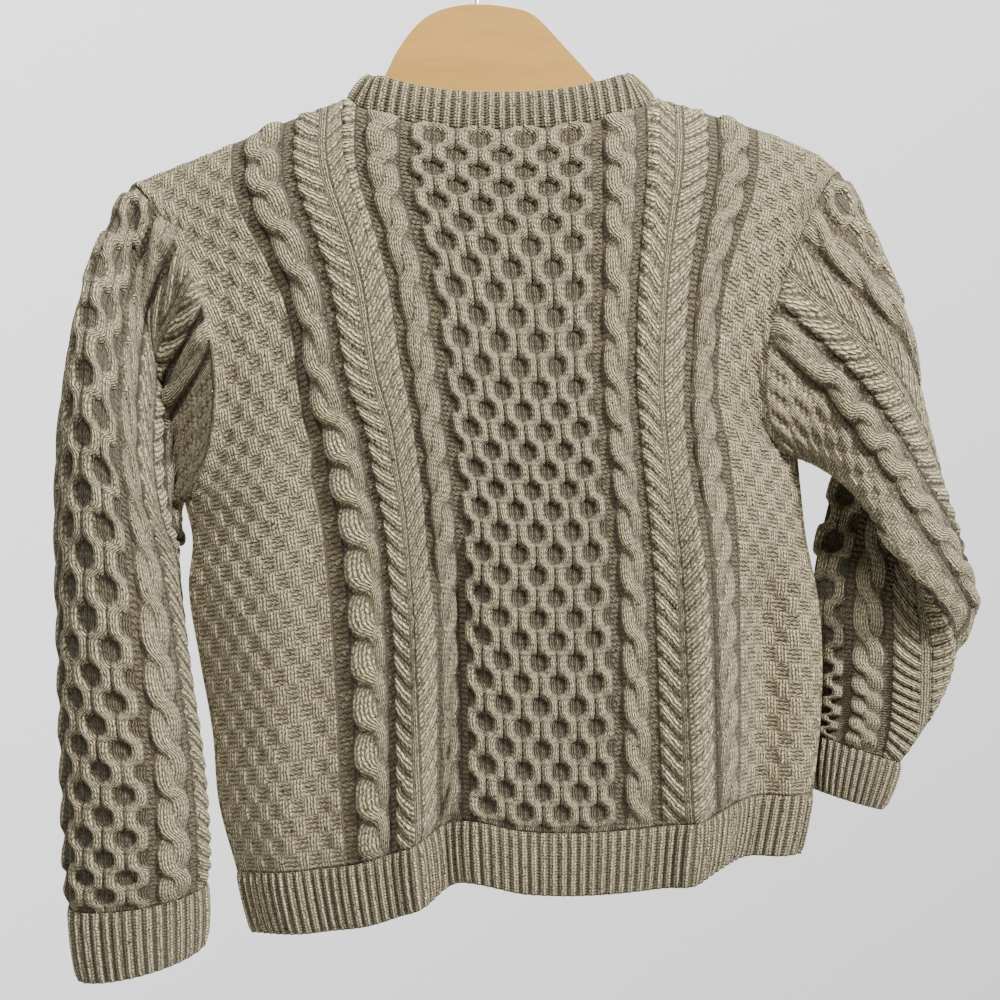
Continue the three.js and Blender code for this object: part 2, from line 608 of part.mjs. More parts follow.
// The ribbed neckband, round the neck edges of both panels
function neckbandGeometry() {
  const lastRow = PANELS.back.length - 1;
  const neck = (name) => PANELS[name][lastRow].filter(({ stitch }) => Math.abs(stitch) <= NECK_STATION);
  const back = neck('back');
  const front = neck('front').reverse();
  const middleOf = (a, b) => mixPair(a, b, 0.5);
  const leftCorner = middleOf(back[0], front[front.length - 1]);
  const rightCorner = middleOf(back[back.length - 1], front[0]);
  const half = (columns, first, last) => [
    { ...first, stitch: columns[0].stitch },
    ...columns.slice(1, -1),
    { ...last, stitch: columns[columns.length - 1].stitch },
  ];
  const edge = [
    ...byStitch(half(back, leftCorner, rightCorner)).slice(0, -1),
    ...byStitch(half(front, rightCorner, leftCorner)).slice(0, -1),
  ];
  const halfway = edge.length / 2;
  const end = edge.map((pair, i) => {
    const atCorner = i % halfway === 0;
    const fromCorner = Math.min(i % halfway, halfway - (i % halfway));
    const corner = soft(1 - fromCorner / NECKBAND_CORNER.reach);
    const cornerLean = pair.outer.x < 0 ? NECKBAND_CORNER.leanLeft : NECKBAND_CORNER.leanRight;
    const lean = mix(NECKBAND_LEAN, cornerLean, corner);
    const height = NECKBAND_HEIGHT - NECKBAND_CORNER.drop * corner;
    const outer = new THREE.Vector3(pair.outer.x * lean, pair.outer.y * NECKBAND_LEAN, pair.outer.z + height);
    const towards = atCorner
      ? new THREE.Vector3(-Math.sign(outer.x) * WALL, 0, 0)
      : new THREE.Vector3(0, -Math.sign(outer.y) * WALL, 0);
    return { outer, inner: outer.clone().add(towards) };
  });
  const shift = new THREE.Vector3(0, 0, HALF_GAP);
  return ribbedTube(edge, end, edge.length / 2, shift, false);
}

// The plywood hanger: a round head over two sloping arms inside the shoulders
function boardGeometry() {
  const armTop = (stitch) => new THREE.Vector2(
    read(SHOULDER_LINE, 'x', stitch),
    readStraight(SHOULDER_LINE, 'z', stitch) - ARM_DROP,
  );
  const head = [
    [-91, -125], [-79, -102], [-62, -82], [-44, -73], [-20, -69.5], [8, -72], [28, -79], [52, -104], [74, -128],
  ].map(([x, z]) => new THREE.Vector2(x, z));
  const outline = new THREE.Shape();
  const leftTop = [52, 39, 33].map((stitch) => armTop(-stitch));
  const rightTop = [33, 39, 52].map((stitch) => armTop(stitch));
  outline.moveTo(leftTop[0].x, leftTop[0].y - 46);
  outline.quadraticCurveTo(leftTop[0].x - 14, leftTop[0].y - 22, leftTop[0].x, leftTop[0].y);
  leftTop.slice(1).forEach((p) => outline.lineTo(p.x, p.y));
  outline.lineTo(-106, -158);
  outline.splineThru([...head, new THREE.Vector2(90, -146), new THREE.Vector2(106, -158)]);
  outline.lineTo(rightTop[0].x, rightTop[0].y);
  rightTop.slice(1).forEach((p) => outline.lineTo(p.x, p.y));
  const end = rightTop[rightTop.length - 1];
  outline.quadraticCurveTo(end.x + 14, end.y - 22, end.x, end.y - 46);
  outline.closePath();
  const settings = { depth: BOARD_THICK, bevelEnabled: false, curveSegments: 3 };
  const geometry = new THREE.ExtrudeGeometry(outline, settings);
  geometry.rotateX(Math.PI / 2);
  geometry.translate(0, BOARD_THICK / 2 - BOARD_BACK, 0);
  return geometry;
}

// The wire hook: a straight shank that turns over into a bow
class HookPath extends THREE.Curve {
  getPoint(t, target = new THREE.Vector3()) {
    const centreZ = WIRE_RADIUS - HOOK_RADIUS;
    const shank = centreZ - HEAD_TOP - SEAM_GAP;
    const bow = HOOK_RADIUS * Math.PI * 1.15;
    const way = t * (shank + bow);
    if (way < shank) return target.set(-HOOK_RADIUS, 0, HEAD_TOP + SEAM_GAP + way);
    const turn = Math.PI - (way - shank) / HOOK_RADIUS;
    return target.set(HOOK_RADIUS * Math.cos(turn), 0, centreZ + HOOK_RADIUS * Math.sin(turn));
  }
}

function hookGeometry() {
  const section = new THREE.Shape();
  section.absarc(0, 0, WIRE_RADIUS, 0, 2 * Math.PI);
  return new THREE.ExtrudeGeometry(section, { steps: 30, curveSegments: 4, extrudePath: new HookPath() });
}

function mesh(name, geometry, color, roughness, metalness = 0) {
  const made = new THREE.Mesh(geometry, new THREE.MeshStandardMaterial({ color, roughness, metalness }));
  made.name = name;
  return made;
}

const sweater = new THREE.Group();
const knit = (name, geometry) => sweater.add(mesh(name, geometry, OATMEAL, 0.95));
knit('back_panel', panelGeometry('back'));
knit('front_panel', panelGeometry('front'));
knit('back_welt', weltGeometry('back'));
knit('front_welt', weltGeometry('front'));
knit('sleeve_left', sleeveGeometry(SLEEVES.left));
knit('sleeve_right', sleeveGeometry(SLEEVES.right));
knit('cuff_left', cuffGeometry(SLEEVES.left, LEFT_CUFF_END));
knit('cuff_right', cuffGeometry(SLEEVES.right, RIGHT_CUFF_END));
knit('neckband', neckbandGeometry());
sweater.add(mesh('hanger_board', boardGeometry(), PLYWOOD, 0.6));
sweater.add(mesh('hanger_hook', hookGeometry(), STEEL, 0.35, 1));

export default sweater;
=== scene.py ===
"""Cable knit sweater on a flat plywood hanger, seen from its back."""

import math

import bpy
import numpy as np
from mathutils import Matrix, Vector


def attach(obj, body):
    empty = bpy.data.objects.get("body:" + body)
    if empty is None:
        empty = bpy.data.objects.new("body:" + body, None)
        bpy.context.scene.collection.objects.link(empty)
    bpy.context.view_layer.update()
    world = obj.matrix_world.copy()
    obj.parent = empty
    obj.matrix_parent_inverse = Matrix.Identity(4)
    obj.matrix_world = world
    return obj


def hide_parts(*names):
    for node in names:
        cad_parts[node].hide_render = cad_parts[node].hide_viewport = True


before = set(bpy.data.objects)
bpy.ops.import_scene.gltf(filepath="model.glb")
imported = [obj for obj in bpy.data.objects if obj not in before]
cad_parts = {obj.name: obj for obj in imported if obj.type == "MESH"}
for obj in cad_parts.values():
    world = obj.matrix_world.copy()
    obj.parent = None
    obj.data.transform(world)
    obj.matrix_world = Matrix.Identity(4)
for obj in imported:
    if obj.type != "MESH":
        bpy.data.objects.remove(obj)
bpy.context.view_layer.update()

MM = 0.001

# Cloth and knitting, in millimetres, stitches and pattern repeats
WALL = 3.0
BODY_HALF = 66
NECK_STITCH = 28
BASKET_STITCH = 48
BASKET_WIDTH = 5.0
BODY_REPEATS = 17
UNDERARM = 9 / 17
SLEEVE_REPEATS = 14.5
SLEEVE_STITCH = 4.3
ROWS_A_REPEAT = 8
STITCH = 4.1
REPEAT = 34.0
SLEEVE_HALF_AT_TOP = 62
SLEEVE_HALF_AT_CUFF = 30
WELT_HEIGHT = 48
WELT_BULGE = 1.2
WELT_SKEW_LEFT = 12
WELT_SKEW_RIGHT = -10
RING_BULGE = 1.5
NECKBAND_HEIGHT = 30
NECKBAND_LEAN = 0.94
NECKBAND_LEAN_LEFT = 0.86
NECKBAND_LEAN_RIGHT = 0.82
NECKBAND_CORNER = 6
NECKBAND_DROP = 8
NECKBAND_ROWS = 8
RIB_ROWS = 13
RIB_PITCH = 7.6

# How far each pattern stands off the wall
HONEYCOMB_RISE = 5.0
ROPE_RISE = 6.5
BRAID_RISE = 4.6
BASKET_RISE = 2.0
RIB_RISE = 2.6

# Shapes of the patterns: sizes in stitches, and how steeply strands cross (turn and swing)
HONEYCOMB_CELL = 4
HONEYCOMB_TURN = 1.9
HONEYCOMB_STRAND = 1.04
ROPE_SWING = 2.2
ROPE_OFFSET = 1.4
ROPE_STRAND = 1.6
ROPE_OVAL = 3.1
BRAID_HALF = 6.0
BRAID_ARMS = 2.1
BRAID_MIDDLE = 1
BASKET_BLOCK = 2
BASKET_PACE = 1.17
RIB_PURL = 0.12


def table(names, rows):
    columns = np.array(rows, float).T
    return dict(zip(names.split(), columns))


SIDE_SEAMS = table("at leftX leftZ rightX rightZ", [
    [0.00, -210, -762, 250, -699],
    [0.20, -225, -706, 256, -648],
    [0.38, -230, -650, 258, -597],
    [0.57, -240, -593, 255, -546],
    [0.76, -249, -536, 245, -495],
    [0.89, -246, -496, 241, -460],
    [1.00, -253, -464, 238, -429],
])
HEM_LIFT = table("at lift", [
    [0.00, 0], [0.20, 3], [0.30, 12], [0.39, 26], [0.50, 12], [0.62, 4], [0.78, 2], [0.86, 6], [1.00, 0],
])
SHOULDER_LINE = table("at x z", [
    [-66, -293.6, -211.6], [-52, -232, -188], [-39, -166, -161], [-28, -122, -146],
    [28, 124, -145], [39, 168, -157], [52, 220, -173], [61, 254, -188], [66, 270.4, -202],
])

# Where the middles of the rope cables run, from hem to shoulder, on the left (a) and right (b)
CABLE_STITCHES = {"a1": -43, "a2": -21, "b1": 21, "b2": 43}
CABLE_LINES = table("at a1 a2 b1 b2", [
    [0.00, -92, -38, 107, 176],
    [0.30, -96, -42, 102, 170],
    [0.41, -101, -45, 99, 165],
    [0.49, -111, -49, 95, 159],
    [0.56, -119, -54, 92, 156],
    [0.62, -134, -58, 89, 157],
    [0.80, -156, -76, 92, 167],
    [0.92, -184, -93, 95, 181],
    [1.00, -193, -99, 95, 190],
])
NECK_DIP = {"back": 28, "front": 74}
NECK_POWER = {"back": 2.4, "front": 2.0}
NECK_REACH = 20
BODY_DEPTH = table("at back front", [
    [0.00, 48, 30], [0.30, 52, 32], [0.55, 50, 32], [0.80, 44, 28], [1.00, 34, 24],
])

# Folds: where each starts and ends, its half width, and how far it goes in
FOLD = "x0 z0 x1 z1 wide deep"
BACK_FOLDS = table(FOLD, [
    [-30, -470, -46, -770, 16, 13],
    [-52, -500, -66, -770, 13, -10],
    [155, -420, 150, -760, 14, -12],
    [215, -470, 208, -760, 26, 44],
    [-195, -230, -140, -480, 22, 7],
])
FRONT_FOLDS = table(FOLD, [
    [40, -430, 60, -770, 20, 10],
    [-120, -400, -100, -770, 18, -9],
    [205, -430, 214, -770, 46, 16],
])

# Sleeve sections: underarm line (u), near side (n), top line (t) and far side (f)
SECTION = "at ux uy uz nx ny nz tx ty tz fx fy fz"
LEFT_SLEEVE = table(SECTION, [
    [0.00, -253, 0, -464, -224, -30, -344, -294, 0, -212, -262, 26, -333],
    [0.07, -268, 12, -471, -266, 4, -372, -305, -16, -246, -298, 29, -350],
    [0.15, -270, 24, -478, -270, 10, -404, -313, -38, -290, -320, 32, -384],
    [0.24, -274, 34, -485, -272, -4, -440, -316, -50, -344, -338, 28, -425],
    [0.33, -276, 38, -493, -270, -20, -474, -317, -54, -404, -344, 22, -462],
    [0.44, -282, 36, -510, -266, -26, -508, -317, -52, -476, -345, 14, -506],
    [0.60, -278, 32, -586, -254, -26, -594, -314, -46, -586, -343, 10, -588],
    [0.76, -270, 28, -666, -243, -19, -674, -307, -42, -674, -341, 6, -668],
    [0.90, -266, 22, -732, -238, -18, -738, -306, -36, -744, -339, 4, -740],
    [1.00, -264, 18, -770, -240, -14, -774, -307, -30, -786, -338, 2, -784],
])
RIGHT_SLEEVE = table(SECTION, [
    [0.00, 238, 0, -429, 209, -28, -344, 270, 0, -202, 256, 26, -317],
    [0.08, 252, -8, -438, 266, -34, -334, 292, 0, -244, 296, 20, -330],
    [0.17, 268, -24, -452, 306, -36, -346, 311, 8, -290, 318, 22, -350],
    [0.26, 286, -38, -474, 326, -18, -374, 308, 34, -336, 316, 22, -400],
    [0.36, 308, -42, -502, 344, 0, -422, 296, 52, -400, 314, 12, -446],
    [0.47, 334, -36, -532, 362, 14, -486, 278, 56, -466, 320, 12, -492],
    [0.57, 358, -18, -560, 368, 34, -540, 264, 50, -530, 318, 10, -536],
    [0.68, 364, 2, -592, 322, 48, -586, 258, 44, -586, 312, 6, -588],
    [0.84, 350, 6, -632, 312, 46, -632, 256, 42, -632, 304, 6, -632],
    [1.00, 322, 8, -676, 288, 42, -666, 250, 38, -654, 284, 8, -664],
])
LEFT_CUFF_END = table(SECTION, [[0, -262, 16, -818, -240, -14, -822, -303, -26, -841, -331, 2, -840]])
RIGHT_CUFF_END = table(SECTION, [[0, 308, 8, -713, 282, 38, -706, 250, 34, -698, 278, 8, -706]])


def mix(a, b, t):
    return a + (b - a) * t


def soft(t):
    t = np.clip(t, 0, 1)
    return t * t * (3 - 2 * t)


def read(rows, name, at):
    """A smooth curve through one column of a table."""
    x, y = rows["at"], rows[name]
    at = np.clip(np.asarray(at, float), x[0], x[-1])
    last = len(x) - 1
    i = np.clip(np.searchsorted(x, at, side="left") - 1, 0, last - 1)
    low, high = np.maximum(np.arange(last + 1) - 1, 0), np.minimum(np.arange(last + 1) + 1, last)
    slope = (y[high] - y[low]) / (x[high] - x[low])
    span, rise = x[i + 1] - x[i], y[i + 1] - y[i]
    t = (at - x[i]) / span
    a, b = slope[i] * span - rise, -slope[i + 1] * span + rise
    return y[i] + rise * t + t * (1 - t) * (a * (1 - t) + b * t)


# Patterns: each takes stitches across and repeats up, and gives the height in millimetres, the
# place in its own stitches (across, up) for the yarn, and how far the stitches are purl.


def round_top(distance):
    return np.sqrt(np.clip(1 - distance ** 2, 0, 1))


def honeycomb(x, r):
    """Pairs of stitches that wander apart and together round staggered hollows."""
    cell = np.floor(x / HONEYCOMB_CELL)
    sign = np.where(cell % 2 == 0, 1.0, -1.0)
    turn = HONEYCOMB_TURN * np.cos(2 * np.pi * r)
    most = math.tanh(HONEYCOMB_TURN)
    wave = np.tanh(turn) / most
    slope = -np.sin(2 * np.pi * r) * HONEYCOMB_TURN / np.cosh(turn) ** 2 / most * 2 * np.pi
    lean = slope * STITCH / REPEAT
    across = x - (HONEYCOMB_CELL * cell + HONEYCOMB_CELL / 2 + sign * wave)
    away = across / np.sqrt(1 + lean ** 2) / HONEYCOMB_STRAND
    height = round_top(away) ** 0.8
    drop = 0.9 + 0.1 * np.abs(wave)
    return height * drop * HONEYCOMB_RISE, across + 8, r * ROWS_A_REPEAT, np.zeros_like(x)


def rope(x, r, way):
    """Three stitches over three: two strands that turn round each other."""
    height = np.zeros_like(x)
    across, up = x.copy(), r * ROWS_A_REPEAT
    waist = 1 - 0.2 * np.abs(np.sin(np.pi * r)) ** 3
    for turn in (0, 1):
        phase = np.pi * (r + turn)
        front = np.sin(phase)
        swing = ROPE_SWING * np.cos(phase)
        centre = way * ROPE_OFFSET * waist * np.tanh(swing) / math.tanh(ROPE_SWING)
        lean = ROPE_OFFSET * ROPE_SWING * np.pi * front / np.cosh(swing) ** 2 * STITCH / REPEAT
        away = (x - centre) / np.sqrt(1 + 0.4 * lean ** 2) / ROPE_STRAND
        here = round_top(away) ** 0.6 * (0.75 + np.where(front > 0, 0.25, 0.6) * front)
        inside = here > height
        height = np.where(inside, here, height)
        across = np.where(inside, x - centre + 8.5, across)
    oval = round_top(x / (ROPE_OVAL * waist)) ** 0.6
    return (0.75 * height + 0.25 * oval) * ROPE_RISE, across, up, np.where(height > 0, 0.0, 1.0)


def braid(x, r):
    """Arms that run down to a middle column from both sides."""
    side = np.abs(x)
    reach = side / BRAID_HALF
    turn = BRAID_ARMS * r - 0.5 * reach - 0.9 * reach ** 1.5
    part = turn % 1
    arm = np.sin(np.pi * part ** 0.7) ** 0.6
    edge = round_top(np.clip(reach - 0.14 * np.sin(np.pi * part) + 0.1, 0, 1) ** 6)
    arms = (0.1 + 0.9 * arm) * edge * (0.7 + 0.3 * reach)
    in_middle = side < BRAID_MIDDLE
    height = np.where(in_middle, 0.5 * round_top(side / 1.3), arms)
    across = np.where(in_middle, x + 8, part * 2)
    up = np.where(in_middle, r * ROWS_A_REPEAT, side * 0.8)
    return height * BRAID_RISE, across, up, np.where(edge < 0.2, 1.0, 0.0)


def basket(x, r):
    """Two stitches by four rows, knit and purl in turn."""
    row = r * BASKET_PACE
    check = np.tanh(4 * np.sin(np.pi * x / BASKET_BLOCK) * np.sin(2 * np.pi * row))
    stripe = round_top((x % 1) * 2 - 1)
    height = BASKET_RISE * (0.5 + 0.5 * check) * (0.4 + 0.6 * stripe)
    return height, x, r * ROWS_A_REPEAT * BASKET_PACE, (check < 0).astype(float)


def bands(x, r, layout):
    """The layout on both sides of a centre line, with basket stitch past its end.

    Besides what a pattern gives, the height of its tops and how strongly its hollows are painted with
    shade.
    """
    height, across, up, purl = basket(x, r)
    # depth here is how strongly each pattern's hollows are painted with shade
    tall, depth = np.full_like(x, BASKET_RISE), np.full_like(x, 0.5)
    side, sign = np.abs(x), np.sign(x)
    for kind, low, high in layout:
        inside = (side >= low) & (side < high)
        middle = (low + high) / 2
        if kind == "gutter":
            found = (np.zeros_like(x), x, r * ROWS_A_REPEAT, np.ones_like(x))
            most, hollow_shade = 1.0, 0.82
        elif kind == "honeycomb":
            found = honeycomb(x, r)
            most, hollow_shade = HONEYCOMB_RISE, 0.78
        elif kind == "inner_rope":
            found = rope((side - middle) * sign, r, sign)
            most, hollow_shade = ROPE_RISE, 0.85
        elif kind == "outer_rope":
            found = rope((side - middle) * sign, r + 0.5, -sign)
            most, hollow_shade = ROPE_RISE, 0.85
        else:
            found = braid(side - middle, r)
            most, hollow_shade = BRAID_RISE, 0.8
        height, across, up, purl, tall, depth = (
            np.where(inside, new, old)
            for new, old in zip((*found, most, hollow_shade), (height, across, up, purl, tall, depth))
        )
    return height, across, up, purl, tall, depth


BANDS = ["honeycomb", "gutter", "inner_rope", "gutter", "braid", "gutter", "outer_rope", "gutter"]
BODY_EDGES = [0, 16, 18, 24, 26, 38, 40, 46, 48]
SLEEVE_EDGES = [0, 8, 9.5, 15.5, 17, 29, 30.5, 36.5, 38]
BODY_LAYOUT = list(zip(BANDS, BODY_EDGES[:-1], BODY_EDGES[1:]))
SLEEVE_LAYOUT = list(zip(BANDS, SLEEVE_EDGES[:-1], SLEEVE_EDGES[1:]))


def ribs(x, rows):
    """One knit, one purl, with the same six values as bands gives."""
    wave = 0.5 + 0.5 * np.cos(np.pi * x)
    height = RIB_RISE * wave ** 0.9
    purl = (wave < RIB_PURL).astype(float)
    return height, x * 0.8 + 0.5, rows * 1.6, purl, RIB_RISE, np.ones_like(x)


# Surfaces: each gives a grid of base points in millimetres, rows upward or along, columns round

# Steps for measuring lengths round a half section and across a panel
TURN_STEPS = 91
PANEL_STEPS = 241

# How far in from a panel's edge the seam's own pace shows, in stitches, and how it is evened, in steps
SEAM_REACH = 12
SLACK_STEPS = 341
SLACK_REACH = 30

# Over how many millimetres a fold grows to its full depth
FOLD_START = 90


def lengths_along(points):
    """Lengths along each row of points, from its first point."""
    steps = np.linalg.norm(np.diff(points, axis=-2), axis=-1)
    return np.concatenate([np.zeros_like(steps[..., :1]), np.cumsum(steps, -1)], -1)


def sleeve_sections(rows, at):
    """The four points of each section, and from them the curve's parts."""
    u, n, t, f = (np.stack([read(rows, p + axis, at) for axis in "xyz"], -1) for p in "untf")
    return (u + n + t + f) / 4, (u - t) / 2, (n - f) / 2, (u + t - n - f) / 4


def section_points(parts, turns):
    centre, along, across, bow = (part[..., None, :] for part in parts)
    turns = turns[..., None]
    return centre + along * np.cos(turns) + across * np.sin(turns) + bow * np.cos(2 * turns)


def unit(v):
    return v / np.linalg.norm(v, axis=-1, keepdims=True)


def section_away(parts, turns):
    """Directions out of a section in its own plane."""
    _, along, across, _ = (part[..., None, :] for part in parts)
    turns = turns[..., None]
    return unit(along) * np.cos(turns) + unit(across) * np.sin(turns)


def turns_at(parts, shares, way):
    """Turns at shares of a half's length, from the top line to the underarm."""
    steps = np.pi - way * np.linspace(0, np.pi, TURN_STEPS)
    line = section_points(parts, np.broadcast_to(steps, parts[0].shape[:-1] + steps.shape))
    rings = zip(shares, lengths_along(line))
    return np.stack([np.interp(share * length[-1], length, steps) for share, length in rings])


def ring_turns(parts, columns, at):
    """Turns and stitches round each ring: columns evenly spread, from the top line, near side first."""
    half = mix(SLEEVE_HALF_AT_TOP, SLEEVE_HALF_AT_CUFF, at)
    steps = columns // 2
    shares = np.broadcast_to(np.linspace(0, 1, steps + 1), (len(at), steps + 1))
    near, far = turns_at(parts, shares, 1), turns_at(parts, shares, -1)
    turns = np.concatenate([near, far[:, -2:0:-1]], 1)
    stitches = np.concatenate([shares, -shares[:, -2:0:-1]], 1) * half[:, None]
    return turns, stitches


def armhole_line(side, is_back, shares):
    parts = sleeve_sections(LEFT_SLEEVE if side == "left" else RIGHT_SLEEVE, np.zeros(1))
    turns = turns_at(parts, np.atleast_2d(1 - shares), 1 if is_back else -1)
    return section_points(parts, turns)[0]


ARMHOLE_STEPS = [0, 10, 11, 12, 13, 14, 15, 16]
ARMHOLE_STITCHES = [62, 20, 17, 14, 12, 8, 4, 0]


def side_line(side, is_back, at):
    """A panel's left or right edge from the hem to the shoulder."""
    share = at / UNDERARM
    line = np.stack([read(SIDE_SEAMS, side + "X", share), 0 * at, read(SIDE_SEAMS, side + "Z", share)], -1)
    up = at > UNDERARM
    step = (at[up] - UNDERARM) / (1 - UNDERARM) * ARMHOLE_STEPS[-1]
    stitch = np.interp(step, ARMHOLE_STEPS, ARMHOLE_STITCHES)
    line[up] = armhole_line(side, is_back, 1 - stitch / SLEEVE_HALF_AT_TOP)
    return line


def evened(values, reach):
    """Values averaged over their neighbours, less and less towards both ends."""
    total = np.concatenate([[0.0], np.cumsum(values)])
    place = np.arange(len(values))
    near = np.minimum(np.minimum(place, place[::-1]), reach)
    return (total[place + near + 1] - total[place - near]) / (2 * near + 1)


def fold_depth(folds, x, z):
    total = np.zeros_like(x)
    for x0, z0, x1, z1, wide, deep in zip(*(folds[name] for name in FOLD.split())):
        along = np.clip((z0 - z) / (z0 - z1), 0, 1)
        trough = np.exp(-(((x - mix(x0, x1, along)) / wide) ** 2))
        total += deep * trough * soft((z0 - z) / FOLD_START)
    return total


def side_slack(side, is_back, at):
    """How far a side edge runs ahead of an even pace, and the same evened out over its neighbours."""
    fine = np.linspace(0, 1, SLACK_STEPS)
    heights = side_line(side, is_back, fine)[:, 2]
    own = heights - mix(heights[0], heights[-1], fine)
    return np.interp(at, fine, own), np.interp(at, fine, evened(own, SLACK_REACH))


def panel_base(is_back, at, stitches):
    """A panel's grid from the hem to the shoulder, its columns evenly spread over the cloth."""
    name = "back" if is_back else "front"
    outward = -1 if is_back else 1
    left, right = (side_line(side, is_back, at)[:, None, :] for side in ("left", "right"))
    at = at[:, None]
    depth, near_top = read(BODY_DEPTH, name, at), np.sqrt(np.clip(1 - at ** 10, 0, 1))
    own_left, even_left = side_slack("left", is_back, at)
    own_right, even_right = side_slack("right", is_back, at)

    def height(t, stitch):
        inside = soft((BODY_HALF - np.abs(stitch)) / SEAM_REACH)
        slack = mix(mix(own_left, even_left, inside), mix(own_right, even_right, inside), t)
        bottom = mix(SIDE_SEAMS["leftZ"][0], SIDE_SEAMS["rightZ"][0], t) + read(HEM_LIFT, "lift", t)
        scoop = np.clip(1 - np.abs(stitch / NECK_STITCH) ** NECK_POWER[name], 0, 1)
        dip = scoop ** 0.8 * NECK_DIP[name]
        top = np.interp(stitch, SHOULDER_LINE["at"], SHOULDER_LINE["z"]) - dip
        return mix(bottom, top, at) + slack

    def reach(t, stitch):
        x = mix(left[..., 0], right[..., 0], t)
        crown = (1 - np.clip(np.abs(2 * t - 1), 0, 1) ** 5) ** 0.6
        fold = fold_depth(BACK_FOLDS if is_back else FRONT_FOLDS, x, height(t, stitch))
        round_neck = np.sqrt(1 - np.clip(np.abs(stitch / NECK_STITCH), 0, 1) ** 4)
        neck = NECK_REACH * round_neck * at ** 12
        body = (depth - fold) * crown * near_top
        return mix(mix(left[..., 1], right[..., 1], t), outward * (body + neck), np.maximum(crown, 0.001))

    steps = np.linspace(0, 1, PANEL_STEPS)[None, :]
    spread = np.broadcast_to(mix(-BODY_HALF, BODY_HALF, steps), (len(at), steps.shape[1]))
    y = reach(np.broadcast_to(steps, spread.shape), spread)
    dx = (right[..., 0] - left[..., 0]) / (steps.shape[1] - 1)
    lengths = np.cumsum(np.hypot(dx, np.diff(y, axis=1)), 1)
    lengths = np.concatenate([np.zeros((len(at), 1)), lengths], 1)
    lines = np.concatenate([read(CABLE_LINES, name, at) for name in CABLE_STITCHES], 1)
    shares = (lines - left[..., 0]) / (right[..., 0] - left[..., 0])
    marks = [-BODY_HALF, *CABLE_STITCHES.values(), BODY_HALF]
    evenly = []
    for length, share in zip(lengths, shares):
        cables = np.interp(share, steps[0], length)
        want = np.interp(stitches, marks, [0, *cables, length[-1]])
        evenly.append(np.interp(want, length, steps[0]))
    evenly = np.array(evenly)
    top_x = read(SHOULDER_LINE, "x", stitches)[None, :]
    fitted = (top_x - left[..., 0]) / (right[..., 0] - left[..., 0])
    t = mix(evenly, np.clip(fitted, 0, 1), soft((at - 0.7) / 0.3))
    t[:, 0], t[:, -1] = 0, 1
    stitch = np.broadcast_to(stitches[None, :], t.shape)
    points = np.stack([mix(left[..., 0], right[..., 0], t), reach(t, stitch), height(t, stitch)], -1)
    points[:, 0], points[:, -1] = left[:, 0], right[:, 0]
    return points


def normals(grid, is_ring, flip):
    """Unit vectors out of a grid of points."""
    if is_ring:
        across = np.roll(grid, -1, 1) - np.roll(grid, 1, 1)
    else:
        across = np.gradient(grid, axis=1)
    up = np.gradient(grid, axis=0)
    out = np.cross(across, up)
    out /= np.maximum(np.linalg.norm(out, axis=-1, keepdims=True), 1e-9)
    return -out if flip else out


# Meshes


def shell(name, outer, inner, marks, is_ring, flip):
    """A closed wall from a fine outer grid and a coarse plain inner one, with its yarn marks."""
    rows, columns = outer.shape[:2]
    count_r, count_c = inner.shape[:2]
    points = np.concatenate([outer.reshape(-1, 3), inner.reshape(-1, 3)]) * MM
    start = rows * columns

    def skin(r, c, offset, turned):
        index = np.arange(r * c).reshape(r, c) + offset
        if is_ring:
            index = np.concatenate([index, index[:, :1]], 1)
        a, b, c2, d = index[:-1, :-1], index[:-1, 1:], index[1:, 1:], index[1:, :-1]
        order = (a, d, c2, b) if turned else (a, b, c2, d)
        return np.stack([q.ravel() for q in order], -1), index

    outer_quads, out_index = skin(rows, columns, 0, flip)
    inner_quads, in_index = skin(count_r, count_c, start, not flip)
    triangles = []

    def rim(fine, coarse, turned):
        ratio = (len(fine) - 1) / (len(coarse) - 1)
        i = k = 0
        while i < len(fine) - 1 or k < len(coarse) - 1:
            if k == len(coarse) - 1 or (i < len(fine) - 1 and (i + 0.5) / ratio < k + 0.5):
                face = (fine[i + 1], fine[i], coarse[k])
                i += 1
            else:
                face = (coarse[k], coarse[k + 1], fine[i])
                k += 1
            triangles.append(face[::-1] if turned else face)

    rim(out_index[0], in_index[0], flip)
    rim(out_index[-1], in_index[-1], not flip)
    if not is_ring:
        rim(out_index[:, 0], in_index[:, 0], not flip)
        rim(out_index[:, -1], in_index[:, -1], flip)
    faces = np.concatenate([outer_quads, inner_quads])
    loops = np.concatenate([faces.ravel(), np.array(triangles).ravel()])
    starts = np.concatenate([np.arange(len(faces)) * 4, len(faces) * 4 + np.arange(len(triangles)) * 3])
    mesh = bpy.data.meshes.new(name)
    mesh.vertices.add(len(points))
    mesh.vertices.foreach_set("co", points.ravel())
    mesh.loops.add(len(loops))
    mesh.loops.foreach_set("vertex_index", loops.astype(np.int32))
    mesh.polygons.add(len(starts))
    mesh.polygons.foreach_set("loop_start", starts.astype(np.int32))
    mesh.polygons.foreach_set("use_smooth", np.ones(len(starts), bool))
    mesh.update(calc_edges=True)
    mesh.validate()
    for mark, values in marks.items():
        spare = np.zeros(count_r * count_c)
        data = mesh.attributes.new(mark, "FLOAT", "POINT").data
        data.foreach_set("value", np.concatenate([values.ravel(), spare]))
    piece = bpy.data.objects.new(name, mesh)
    bpy.context.scene.collection.objects.link(piece)
    return piece


def knitted(name, base, outward, inner, found, fade, is_ring, flip):
    """A shell with a pattern raised on it."""
    height, across, up, purl, tall, depth = found
    rise = height * fade
    outer = base + outward * rise[..., None]
    # lift and depth are the marks for the painted shade in the relief's hollows
    marks = {"across": across, "up": up, "purl": purl, "lift": height / tall, "depth": depth}
    return shell(name, outer, inner, marks, is_ring, flip)


COARSE = 6
STEP = 1

# How the relief fades: grid steps at a seam, the share that ribs keep, stitches at the underarm line
SEAM_STEPS = 3
RIB_AT_EDGE = 0.45
UNDERARM_FADE = 3.0


